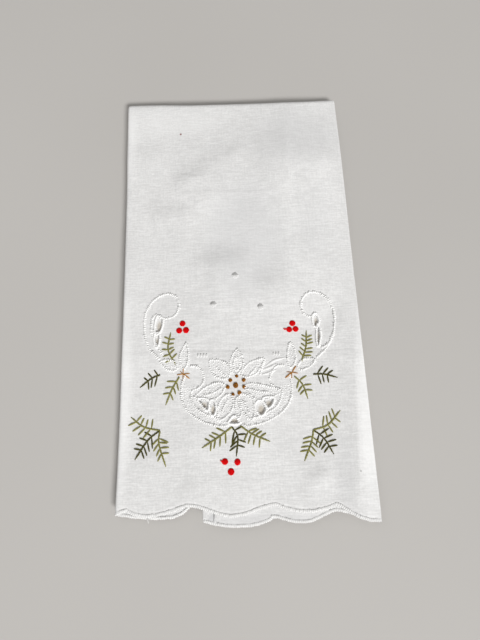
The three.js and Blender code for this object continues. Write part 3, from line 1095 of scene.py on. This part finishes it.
SIDE_SHIFT = 0.9
SCROLL_OUTER = [
    (43.8, 79.6), (49.6, 85.3), (52.8, 91.5), (54.3, 99.0), (54.2, 106.5), (51.5, 113.2),
    (46.5, 117.4), (41.0, 118.4), (36.6, 115.6), (35.1, 110.6), (36.9, 105.4), (41.4, 103.3),
]
SCROLL_INNER = [
    (41.4, 103.3), (45.0, 104.0), (48.1, 105.7), (50.2, 103.0),
    (50.2, 97.0), (48.2, 91.0), (45.0, 86.0), (41.6, 81.6),
]
SCROLL_FOOT = [(52.6, 92.5), (51.4, 88.6), (49.0, 86.5), (46.2, 85.2)]
LOBE_OUTER = [(28.6, 70.6), (30.2, 65.5), (29.8, 57.5), (25.4, 50.3), (16.5, 44.9), (8.0, 42.8), (3.0, 43.4)]
LOBE_INNER = [
    (18.6, 70.8), (18.2, 66.8), (20.6, 63.6), (24.6, 61.4),
    (24.4, 57.0), (21.5, 52.5), (16.5, 49.3), (11.0, 47.2), (6.0, 46.6),
]
RIBBON = [(26.2, 75.5), (22.0, 75.2), (20.0, 73.2), (18.8, 70.8)]

# Petals and leaves, each from its base to its tip, with its width and how far its middle bends aside.
# All are fullest at the same share of their length.
PETAL_COLUMNS = ("base_p", "base_q", "tip_p", "tip_q", "width", "bend")
PETALS = [
    (0.5, 70.4, 0.3, 84.8, 7.4, 0.0),
    (3.4, 69.6, 15.6, 79.4, 7.0, -0.3),
    (-3.4, 69.0, -14.6, 78.4, 9.2, -0.2),
    (5.0, 64.2, 25.2, 60.8, 8.2, -2.0),
    (-5.0, 64.8, -21.6, 58.2, 8.2, 0.8),
    (-2.4, 60.0, -8.0, 45.4, 7.8, 0.5),
    (1.4, 58.5, 3.2, 46.4, 3.2, 0.2),
    (3.2, 60.2, 10.2, 45.8, 7.6, 0.6),
]
INNER_PETAL = (0.5, 72.4, 0.3, 81.0, 3.6, 0.0)
SIDE_LEAVES = [
    (29.6, 73.6, 29.2, 88.6, 4.8, -0.6),
    (33.2, 73.8, 43.4, 78.4, 5.4, 0.4),
]
PETAL_PLACES = 9
PETAL_FULLEST = 0.85
PETAL_FULLNESS = 0.8
MIDRIBS = [
    [(-10.9, 74.9), (-7.6, 71.4), (-3.9, 68.6)],
    [(7.1, 69.7), (8.9, 71.6), (11.3, 74.3)],
    [(7.0, 62.8), (13.0, 61.2), (19.0, 60.9)],
    [(-7.0, 63.2), (-12.0, 60.4), (-16.8, 58.9)],
    [(-3.4, 57.0), (-5.4, 53.0), (-6.8, 49.6)],
    [(4.8, 56.4), (6.8, 52.6), (8.6, 49.4)],
]

# Soft padded ridges beside the flower on the right, as places on the front panel, and the upright bar
# that ends the right petal.
RIDGES = [
    [(13.2, 74.7), (16.2, 76.6), (19.0, 78.0), (24.8, 79.2)],
    [(10.9, 72.4), (13.2, 73.1), (15.9, 74.1), (19.6, 76.0)],
    [(11.0, 70.1), (13.4, 70.5), (16.0, 71.3), (19.4, 72.6)],
]
RIDGE_RADIUS = 0.75
RIDGE_FLATNESS = 0.38
RIDGE_TIP = 0.35
RIDGE_ROUNDNESS = 0.7
RIDGE_TWIST = (0.05, 0.9)
PETAL_BAR = [(12.7, 77.9), (11.2, 73.6), (9.6, 69.2)]

# Short rows of upright stitches beside the two ribbons: the first place, how many, and how far apart.
LADDERS = [(-24.2, 82.0, 4, 1.6), (18.0, 81.6, 3, 1.45)]
LADDER_TOP = 1.1
LADDER_FOOT = 1.3
LADDER_SLANT = 0.1
LADDER_RADIUS = 0.45
LADDER_RISE = 0.12


def petal_outline(row):
    """The outline of a pointed petal: out along one side to its tip, and back along the other."""
    base = np.array([row["base_p"], row["base_q"]])
    tip = np.array([row["tip_p"], row["tip_q"]])
    share = np.linspace(0.0, 1.0, PETAL_PLACES)
    ahead = tip - base
    side = np.array([-ahead[1], ahead[0]]) / np.linalg.norm(ahead)
    half = 0.5 * row["width"] * np.sin(math.pi * share**PETAL_FULLEST) ** PETAL_FULLNESS
    middle = base + share[:, None] * ahead + (row["bend"] * np.sin(math.pi * share))[:, None] * side
    out = middle + half[:, None] * side
    back = middle - half[:, None] * side
    return np.vstack([out, back[::-1][1:]])


def mirrored(places, side):
    """Places of the design on its left or its right, which both lie a little to the right."""
    return [(p * side + SIDE_SHIFT, q) for p, q in places]


def scroll_lines(material):
    stitches = Stitches(seed=101)
    for line, side in ((SCROLL_OUTER, -1), (SCROLL_OUTER, 1), (SCROLL_INNER, -1), (SCROLL_FOOT, 1)):
        stitches.line(design(mirrored(line, side)), SCROLL_WIDTH)
    return stitches.piece("scroll_lines", material)


def flower_lines(material):
    stitches = Stitches(seed=102)
    for side in (-1, 1):
        for line in (LOBE_OUTER, LOBE_INNER, RIBBON):
            stitches.line(design(mirrored(line, side)))
        for row in rows_of(SIDE_LEAVES, PETAL_COLUMNS):
            stitches.line(design(mirrored(petal_outline(row), side)), FINE_LINE_WIDTH)
    for row in rows_of(PETALS + [INNER_PETAL], PETAL_COLUMNS):
        stitches.line(design(petal_outline(row)), FINE_LINE_WIDTH)
    for line in MIDRIBS:
        stitches.line(design(line), FINE_LINE_WIDTH)
    stitches.line(PETAL_BAR, LINE_WIDTH)
    return stitches.piece("flower_lines", material)


def padded_ridges(material):
    stitches = Stitches(seed=103)
    for ridge in RIDGES:
        path = curve(ridge, 0.5)
        round_share = np.sin(math.pi * np.linspace(0, 1, len(path))) ** RIDGE_ROUNDNESS
        size = RIDGE_RADIUS * (RIDGE_TIP + (1 - RIDGE_TIP) * round_share)
        stitches.tube(at_height(path, LAID_HEIGHT), size, 8, *RIDGE_TWIST, RIDGE_FLATNESS)
    for x, y, count, apart in LADDERS:
        for k in range(count):
            top = (x + k * apart, y + LADDER_TOP)
            foot = (top[0] + LADDER_SLANT, y - LADDER_FOOT)
            stitches.stitch(top, foot, LADDER_RADIUS, LADDER_RISE, sides=7, steps=6)
    return stitches.piece("padded_ridges", material)


# The bars of stitches round each cut opening lie a little outside it, over a smooth padded rim.
BAR_OUTSIDE = 0.6
RIM_RADIUS = 0.5
RIM_HEIGHT = 0.08


def stitched_openings(material):
    """Thick bars of stitches round each cut opening."""
    stitches = Stitches(seed=104)
    for outline in HOLES.values():
        loop = np.array(outline)
        away = loop - loop.mean(axis=0)
        loop = loop + away * (BAR_OUTSIDE * BAR_WIDTH / np.linalg.norm(away, axis=1)[:, None])
        stitches.line(loop, BAR_WIDTH, closed=True)
        stitches.tube(at_height(curve(loop, 0.5, closed=True), RIM_HEIGHT), RIM_RADIUS, 8)
    return stitches.piece("stitched_openings", material)


# The seeds lie scattered round the places of a grid, clear of the lines and the openings.
SEED_SPACING = 1.25
SEED_SHIFT = 0.4
SEED_OFF_LINES = 0.8
SEED_OFF_OPENINGS = 1.3
SEED_RADIUS = 0.24
SEED_REACH = (0.35, 0.6)
SEED_RISE = 0.085


def seed_stitches(material):
    """Small scattered stitches that fill the petals, the leaves and the two bands under the flower."""
    stitches = Stitches(seed=21)
    rng = stitches.rng
    areas = [design(petal_outline(row)) for row in rows_of(PETALS, PETAL_COLUMNS)]
    for side in (-1, 1):
        for row in rows_of(SIDE_LEAVES, PETAL_COLUMNS):
            areas.append(design(mirrored(petal_outline(row), side)))
        areas.append(design(mirrored(LOBE_OUTER[1:] + LOBE_INNER[::-1][:-2], side)))
    holes = [curve(outline, 0.5, closed=True) for outline in HOLES.values()]
    for area in areas:
        outline = curve(area, 0.4, closed=True)
        low, high = outline.min(axis=0), outline.max(axis=0)
        gx, gy = np.meshgrid(*(np.arange(low[k], high[k], SEED_SPACING) for k in (0, 1)))
        x, y = (places.ravel() + rng.uniform(-SEED_SHIFT, SEED_SHIFT, places.size) for places in (gx, gy))
        keep = inside(x, y, outline) & (clearance(x, y, outline) > SEED_OFF_LINES)
        for hole in holes:
            keep &= ~inside(x, y, hole) & (clearance(x, y, hole) > SEED_OFF_OPENINGS)
        for place in np.column_stack([x, y])[keep]:
            turn = rng.uniform(0, math.pi)
            half = rng.uniform(*SEED_REACH) * np.array([math.cos(turn), math.sin(turn)])
            stitches.stitch(place - half, place + half, SEED_RADIUS, SEED_RISE, sides=4, steps=3)
    return stitches.piece("seed_stitches", material)


# Pine sprays on the front panel: the foot, bend and tip of the stem, then for the left and the right,
# seen from the foot, how many needles, how long and at what slant to the stem, and at what shares of
# the stem the first and last needles are.
SPRAY_COLUMNS = (
    "x", "y", "bend_x", "bend_y", "tip_x", "tip_y",
    "left", "left_length", "left_slant", "right", "right_length", "right_slant", "first", "last", "shade",
)
SPRAYS = [
    (-45.3, 41.8, -54.0, 43.9, -61.2, 49.4, 4, 5.7, 61, 4, 5.0, 86, 0.27, 0.77, "light"),
    (-45.3, 41.8, -51.7, 36.7, -58.3, 27.0, 4, 5.6, 56, 4, 4.8, 70, 0.28, 0.73, "dark"),
    (-45.3, 41.5, -45.6, 34.7, -41.6, 22.9, 4, 5.1, 74, 4, 4.9, 43, 0.2, 0.63, "light"),
    (37.1, 39.3, 45.1, 41.8, 52.2, 49.1, 4, 5.6, 60, 4, 4.9, 88, 0.3, 0.75, "light"),
    (37.1, 39.3, 42.4, 34.7, 46.7, 26.6, 4, 5.5, 72, 4, 5.4, 70, 0.26, 0.72, "dark"),
    (37.1, 39.3, 35.6, 33.1, 31.2, 23.6, 4, 5.0, 62, 4, 5.3, 60, 0.22, 0.66, "light"),
    (-6.3, 42.3, -13.4, 37.3, -22.5, 31.9, 4, 5.4, 50, 4, 5.0, 57, 0.25, 0.72, "light"),
    (-6.3, 42.3, -3.4, 37.0, -4.4, 27.0, 4, 4.9, 75, 4, 6.1, 50, 0.15, 0.66, "dark"),
    (-1.8, 42.7, 4.8, 38.0, 13.7, 34.1, 4, 5.0, 57, 4, 5.9, 78, 0.28, 0.68, "light"),
    (-36.8, 77.4, -41.1, 85.9, -39.7, 96.1, 5, 3.9, 81, 5, 3.9, 74, 0.2, 0.8, "light"),
    (33.2, 76.6, 36.3, 84.8, 37.2, 94.5, 5, 3.9, 62, 6, 4.5, 63, 0.2, 0.78, "light"),
    (-45.5, 72.0, -50.5, 70.0, -56.7, 65.3, 3, 5.9, 55, 3, 3.9, 75, 0.12, 0.6, "dark"),
    (-34.8, 70.3, -38.8, 63.6, -42.3, 55.2, 3, 4.8, 44, 3, 4.9, 57, 0.17, 0.6, "light"),
    (39.3, 69.3, 45.2, 69.1, 52.4, 67.0, 3, 5.1, 50, 3, 5.1, 73, 0.17, 0.57, "dark"),
    (28.9, 68.5, 33.0, 63.8, 35.4, 55.9, 3, 5.0, 73, 3, 4.7, 63, 0.25, 0.66, "light"),
]
NEEDLE_RADIUS = 0.46
NEEDLE_RISE = 0.04
NEEDLE_TAPER = (1.15, 0.9)
NEEDLE_SLANT_SPREAD = 4.0
NEEDLE_LENGTH_SPREAD = 0.08
NEEDLE_SHIFT = 0.3
STEM_STEP = 0.35
STEM_TIP = 0.55
STEM_TWIST = (0.16, 1.6)


def spray_needles(stitches, stem, row, hand, way):
    """The needles on one side of a spray, longer near its foot and shorter near its tip."""
    rng = stitches.rng
    for share in np.linspace(0, 1, row[hand]):
        at = int((row["first"] + (row["last"] - row["first"]) * share) * (len(stem) - 1))
        ahead = stem[min(at + 2, len(stem) - 1)] - stem[at - 2]
        ahead /= np.linalg.norm(ahead)
        side = np.array([-ahead[1], ahead[0]])
        slant = math.radians(row[hand + "_slant"] + rng.uniform(-1, 1) * NEEDLE_SLANT_SPREAD)
        uneven = rng.uniform(1 - NEEDLE_LENGTH_SPREAD, 1 + NEEDLE_LENGTH_SPREAD)
        reach = row[hand + "_length"] * np.interp(share, (0, 1), NEEDLE_TAPER) * uneven
        start = stem[at] + ahead * rng.uniform(-NEEDLE_SHIFT, NEEDLE_SHIFT)
        end = start + reach * (ahead * math.cos(slant) + way * side * math.sin(slant))
        stitches.stitch(start, end, NEEDLE_RADIUS, NEEDLE_RISE, sides=6, steps=7)


def pine_sprays(shade, material, seed):
    stitches = Stitches(seed)
    for row in rows_of(SPRAYS, SPRAY_COLUMNS):
        if row["shade"] != shade:
            continue
        bends = [(row[place + "x"], row[place + "y"]) for place in ("", "bend_", "tip_")]
        stem = curve(bends, STEM_STEP)
        size = NEEDLE_RADIUS * np.clip((np.arange(len(stem))[::-1] + 2) / 8, STEM_TIP, 1)
        stitches.tube(at_height(stem, LAID_HEIGHT), size, 6, *STEM_TWIST)
        spray_needles(stitches, stem, row, "left", 1)
        spray_needles(stitches, stem, row, "right", -1)
    return stitches.piece(f"pine_sprays_{shade}", material, slot=None)


# Red satin berries, gold knots and star stitches on the front panel

BERRY_COLUMNS = ("x", "y", "half_width", "half_height", "tail")
BERRIES = [
    (-33.0, 101.0, 1.6, 1.65, 0.0),
    (-34.9, 96.9, 1.65, 1.65, 0.0),
    (-31.0, 97.0, 1.65, 1.75, 0.0),
    (29.6, 98.9, 1.7, 1.65, 0.0),
    (27.6, 95.3, 1.6, 1.6, 2.3),
    (31.2, 95.5, 1.6, 1.55, 0.0),
    (-10.5, 24.6, 1.65, 1.6, 1.2),
    (-3.9, 24.2, 1.55, 1.65, 0.0),
    (-7.4, 19.4, 1.65, 1.7, 0.0),
]
BERRY_HEIGHT = 0.5
SATIN_STITCHES = 10
SATIN_PLACES = 9
SATIN_TURN = 0.25
SATIN_RADIUS = 0.21
SATIN_SPREAD = 0.93
SATIN_LENGTH = (0.95, 1.07)
SATIN_SUNK = 0.12
SATIN_SHORTEST = 0.1
SATIN_CREST = 1.02
SATIN_BLUNTNESS = 1.08

# The two stitches of a berry's tail: how much longer than the tail, how far up each ends, how thick and
# how high. Both start inside the berry's edge.
TAIL_START_SHARE = 0.6
TAIL_START_UP = 0.1
TAIL_STITCHES = [(0.3, 0.5, 0.3, 0.35), (-0.2, -0.1, 0.26, 0.3)]

# Raised dots, blunter than a circle in outline and in height, and one of their stitches at its top,
# crest and foot: how far it has splayed, and how far up the dot it is.
DOTS = [(-2.0, 129.0), (-15.0, 111.8), (12.0, 109.6)]
DOT_RADIUS = 1.85
DOT_HEIGHT = 1.05
DOT_SUNK = -0.15
DOT_OUTLINE = 1.15
DOT_CREST = 1.1
DOT_STITCHES = 6
DOT_STITCH = [(0.6, 0.9), (0.85, -0.4), (1.0, -1.0)]
DOT_THREAD = 0.27
DOT_STEP = 0.28
DOT_UNEVEN = (0.85, 1.1)

KNOT_COLUMNS = ("x", "y", "radius")
KNOTS = [
    (-3.6, 64.6, 1.55),
    (-6.6, 67.4, 0.95),
    (-3.0, 69.7, 0.8),
    (0.8, 67.3, 1.0),
    (0.9, 63.6, 1.0),
    (-1.8, 60.5, 1.1),
    (-5.4, 59.7, 0.8),
    (-8.2, 63.8, 1.0),
]
KNOT_THREAD = 0.3
KNOT_TURNS = 2.6
KNOT_PLACES = 34
KNOT_NARROWING = 0.8
KNOT_START = 0.6
KNOT_OPENING = 12
KNOT_WOBBLE = 0.1
KNOT_WOBBLES = 1.3
KNOT_FOOT = 0.14
KNOT_RISE = 0.6

# Rays of the two stars, as turn in degrees, length and thickness. They cross a little at the middle.
STAR_CROSSING = 0.3
STAR_RISE = 0.24
STARS = {
    (-32.6, 71.8): [
        (-36, 4.6, 0.34), (2, 3.9, 0.22), (88, 4.0, 0.22),
        (184, 3.8, 0.24), (268, 4.0, 0.2), (135, 2.6, 0.18),
    ],
    (27.6, 70.7): [
        (217, 5.2, 0.36), (56, 4.6, 0.32), (-10, 3.6, 0.24),
        (172, 3.2, 0.18), (-98, 4.0, 0.18),
    ],
}


def satin_dome(stitches, row, turn):
    """A round padded dot of close parallel stitches."""
    half_width, half_height = row["half_width"], row["half_height"]
    for k in range(SATIN_STITCHES):
        off = half_width * SATIN_SPREAD * (2 * k / (SATIN_STITCHES - 1) - 1)
        reach = half_height * math.sqrt(max(1 - (off / half_width) ** 2, SATIN_SHORTEST))
        along = reach * stitches.rng.uniform(*SATIN_LENGTH) * np.linspace(-1, 1, SATIN_PLACES)
        away = (along / half_height) ** 2 + (off / half_width) ** 2
        dome = np.sqrt(np.clip(SATIN_CREST - away / SATIN_BLUNTNESS, 0, 1))
        path = np.column_stack([
            row["x"] + along * math.sin(turn) + off * math.cos(turn),
            row["y"] + along * math.cos(turn) - off * math.sin(turn),
            BERRY_HEIGHT * dome - SATIN_SUNK,
        ])
        stitches.tube(path, SATIN_RADIUS)


def satin_berries(material):
    stitches = Stitches(seed=31)
    for row in rows_of(BERRIES, BERRY_COLUMNS):
        satin_dome(stitches, row, stitches.rng.uniform(-SATIN_TURN, SATIN_TURN))
        if row["tail"]:
            start = (row["x"] - TAIL_START_SHARE * row["half_width"], row["y"] + TAIL_START_UP)
            for longer, up, radius, rise in TAIL_STITCHES:
                end = (start[0] - row["tail"] - longer, start[1] + up)
                stitches.stitch(start, end, radius, rise, sides=6, steps=6)
    return stitches.piece("satin_berries", material, slot=None)


def raised_dots(material):
    """Small white padded dots above the flower, of a few upright stitches that splay a little."""
    stitches = Stitches(seed=71)
    for x, y in DOTS:
        for k in range(DOT_STITCHES):
            off = 2 * k / (DOT_STITCHES - 1) - 1
            half = DOT_RADIUS * math.sqrt(DOT_OUTLINE - off * off) * stitches.rng.uniform(*DOT_UNEVEN)
            heights = (DOT_SUNK, DOT_HEIGHT * math.sqrt(DOT_CREST - off * off), DOT_SUNK)
            places = [(x + splay * DOT_RADIUS * off, y + up * half) for splay, up in DOT_STITCH]
            stitches.tube(curve(np.column_stack([places, heights]), DOT_STEP), DOT_THREAD)
    return stitches.piece("raised_dots", material)


def knots(material):
    """Thread wound round itself, narrower as it rises, and pulled down into a bead."""
    stitches = Stitches(seed=41)
    share = np.linspace(0, 1, KNOT_PLACES)
    for row in rows_of(KNOTS, KNOT_COLUMNS):
        angle = stitches.rng.uniform(0, 2 * math.pi) + share * KNOT_TURNS * 2 * math.pi
        away = row["radius"] * (1 - KNOT_NARROWING * share) * np.clip(share * KNOT_OPENING, KNOT_START, 1)
        away *= 1 + KNOT_WOBBLE * np.sin(angle * KNOT_WOBBLES)
        x, y = row["x"] + away * np.cos(angle), row["y"] + away * np.sin(angle)
        stitches.tube(np.column_stack([x, y, KNOT_FOOT + KNOT_RISE * share]), KNOT_THREAD)
    return stitches.piece("knots", material, slot=None)


def star_stitches(material):
    stitches = Stitches(seed=51)
    for middle, rays in STARS.items():
        for turn, reach, thickness in rays:
            ahead = np.array([math.cos(math.radians(turn)), math.sin(math.radians(turn))])
            start, end = middle - STAR_CROSSING * ahead, middle + reach * ahead
            stitches.stitch(start, end, thickness, STAR_RISE, sides=6, steps=7)
    return stitches.piece("star_stitches", material, slot=None)


# The floor, the light and the view


def stage_floor():
    finish = Finish("plain_floor", 0.8, specular=0.2)
    tone = finish.noise(finish.place, 3.0, 2.0)
    finish.colour(finish.ramp(tone, [(0.3, (0.47, 0.455, 0.435)), (0.7, (0.50, 0.485, 0.465))]))
    size = 3.0
    corners = [(-size, -size, 0), (size, -size, 0), (size, size, 0), (-size, size, 0)]
    put_in_scene("floor", new_mesh("floor", corners, [(0, 1, 2, 3)], finish.material))


def area_light(name, place, size, power, colour):
    data = bpy.data.lights.new(name, "AREA")
    data.shape = "RECTANGLE"
    data.size, data.size_y = size
    data.energy = power
    data.color = colour
    light = put_in_scene(name, data)
    light.location = place
    light.rotation_euler = (-Vector(place)).to_track_quat("-Z", "Y").to_euler()


def studio_light():
    area_light("window_light", (2.2, -5.0, 3.9), (2.6, 1.2), 500.0, (1.0, 0.995, 0.99))
    area_light("soft_fill", (-0.5, 0.4, 1.4), (1.4, 1.4), 3.0, (1.0, 0.99, 0.975))
    world = bpy.data.worlds.new("studio")
    world.use_nodes = True
    world.node_tree.nodes["Background"].inputs["Color"].default_value = (1.0, 0.99, 0.975, 1.0)
    world.node_tree.nodes["Background"].inputs["Strength"].default_value = 0.345
    bpy.context.scene.world = world
    bpy.context.scene.view_settings.view_transform = "Standard"


# Where the photograph was taken from, over the cloth, and how the camera was turned.
CAMERA_X = 2.41
CAMERA_Y = 23.67
CAMERA_OVER_CLOTH = 263.13
CAMERA_TURNS = (1.862, 16.589, -3.844)
LENS = 27.0
SENSOR_WIDTH = 36.0
NEAREST_SEEN = 0.01


def photo_camera():
    data = bpy.data.cameras.new("camera")
    data.lens = LENS
    data.sensor_width = SENSOR_WIDTH
    data.clip_start = NEAREST_SEEN
    camera = put_in_scene("camera", data)
    turn, tilt, roll = (math.radians(angle) for angle in CAMERA_TURNS)
    turned = Matrix.Rotation(turn, 4, "Z") @ Matrix.Rotation(tilt, 4, "X") @ Matrix.Rotation(roll, 4, "Z")
    height = CAMERA_OVER_CLOTH + STACK_HEIGHT + EVEN_LIFT
    place = Vector((CAMERA_X + FRAME_X, CAMERA_Y + FRAME_Y, height)) * MM
    camera.matrix_world = Matrix.Translation(place) @ turned
    bpy.context.scene.camera = camera


photo_camera()
studio_light()
stage_floor()

cotton = woven_cotton()
white_thread = cotton_thread("white_stranded_thread", (0.67, 0.668, 0.66), (0.81, 0.808, 0.8))
bright_thread = cotton_thread("bright_white_thread", (0.8, 0.798, 0.79), (0.92, 0.918, 0.91))
light_moss = cotton_thread("moss_green_thread", (0.136, 0.13, 0.038), (0.3, 0.285, 0.095))
dark_moss = cotton_thread("dark_moss_thread", (0.036, 0.035, 0.008), (0.10, 0.092, 0.022))
red = cotton_thread("red_thread", (0.5, 0.0, 0.001), (0.71, 0.001, 0.003))
gold_brown = cotton_thread("gold_brown_thread", (0.14, 0.05, 0.006), (0.37, 0.15, 0.018))
amber = cotton_thread("amber_thread", (0.28, 0.115, 0.012), (0.5, 0.225, 0.03))

cloth = napkin_cloth(cotton)
cut_holes(cloth)
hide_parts("napkin_cloth")

work = [
    turned_hems(cotton),
    hem_stitches(white_thread),
    scallop_edging(white_thread),
    loose_thread(white_thread),
    scroll_lines(bright_thread),
    flower_lines(bright_thread),
    padded_ridges(white_thread),
    stitched_openings(bright_thread),
    seed_stitches(bright_thread),
    raised_dots(white_thread),
    pine_sprays("light", light_moss, 61),
    pine_sprays("dark", dark_moss, 62),
    satin_berries(red),
    knots(gold_brown),
    star_stitches(amber),
]
